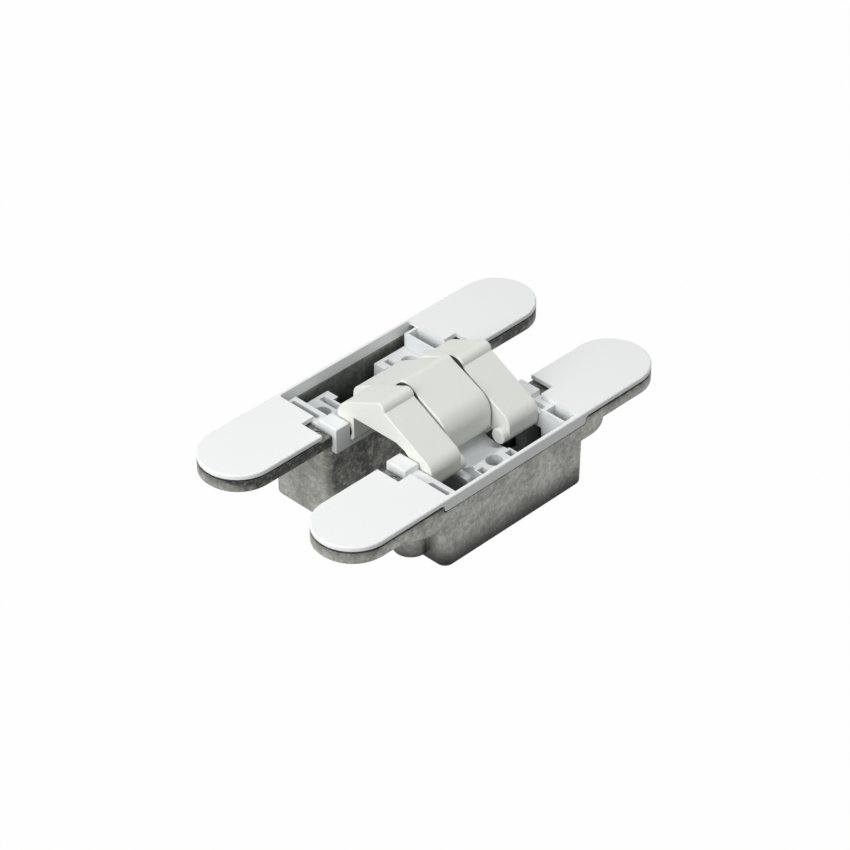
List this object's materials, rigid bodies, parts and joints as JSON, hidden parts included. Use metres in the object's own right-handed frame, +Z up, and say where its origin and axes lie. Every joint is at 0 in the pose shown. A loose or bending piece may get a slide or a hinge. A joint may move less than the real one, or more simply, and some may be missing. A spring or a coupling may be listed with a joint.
{
  "type": "concealed door hinge",
  "caption": "Concealed door hinge lying open: screw-on cast leaves with clip-on covers, joined by crossed arms that fold down into the leaves as the door closes.",
  "frame": {"origin": "centre of the footprint on the plane of the frame leaf's back, midway between the leaves", "axes": "+X from the frame leaf to the door leaf, +Y along the hinge, +Z up towards the arms"},
  "size_m": [0.07, 0.13, 0.0468],
  "materials": {
    "cover_plastic": "satin gloss",
    "carriage_plastic": "matte",
    "arm_enamel": "satin enamel",
    "zinc_casting": "tumbled die-cast zinc",
    "bright_steel": "plain",
    "bearing_iron": "sintered, oiled",
    "washer_polymer": "matte black"
  },
  "bodies": {
    "frame_leaf": {"frame_body": "zinc_casting", "frame_cover": "cover_plastic", "frame_carriage": "carriage_plastic", "frame_clamp_screw_left": "bright_steel", "frame_clamp_screw_right": "bright_steel", "frame_adjuster_left": "bright_steel", "frame_adjuster_right": "bright_steel", "frame_pivot_pin": "bright_steel"},
    "fork": {"outer_arm_left": "arm_enamel", "outer_arm_right": "arm_enamel", "outer_arm_bush_left": "bearing_iron", "outer_arm_bush_right": "bearing_iron", "washer_left": "washer_polymer", "washer_right": "washer_polymer", "main_pin": "bright_steel"},
    "centre_link": {"centre_arm": "arm_enamel", "centre_apex_bush": "bearing_iron", "centre_pivot_bush": "bearing_iron"},
    "door_leaf": {"door_body": "zinc_casting", "door_cover": "cover_plastic", "door_carriage": "carriage_plastic", "door_clamp_screw": "bright_steel", "door_adjuster_left": "bright_steel", "door_adjuster_right": "bright_steel", "door_pivot_pin": "bright_steel"}
  },
  "joints": [
    {"name": "frame_pivot", "type": "hinge", "parent": "frame_leaf", "child": "fork", "pos_m": [-0.0113, 0, 0.0312], "axis": [0, -1, 0], "range_deg": [0, 120.73]},
    {"name": "apex_pivot", "type": "hinge", "parent": "fork", "child": "centre_link", "pos_m": [0.0007, 0, 0.0415], "axis": [0, -1, 0], "range_deg": [-61.48, 0]},
    {"name": "door_pivot", "type": "hinge", "parent": "centre_link", "child": "door_leaf", "pos_m": [0.0127, 0, 0.0312], "axis": [0, -1, 0], "range_deg": [0, 120.74]}
  ],
  "couplings": [
    {"joint": "apex_pivot", "follows": "frame_pivot", "ratio": -0.50915},
    {"joint": "door_pivot", "follows": "frame_pivot", "ratio": 1}
  ]
}
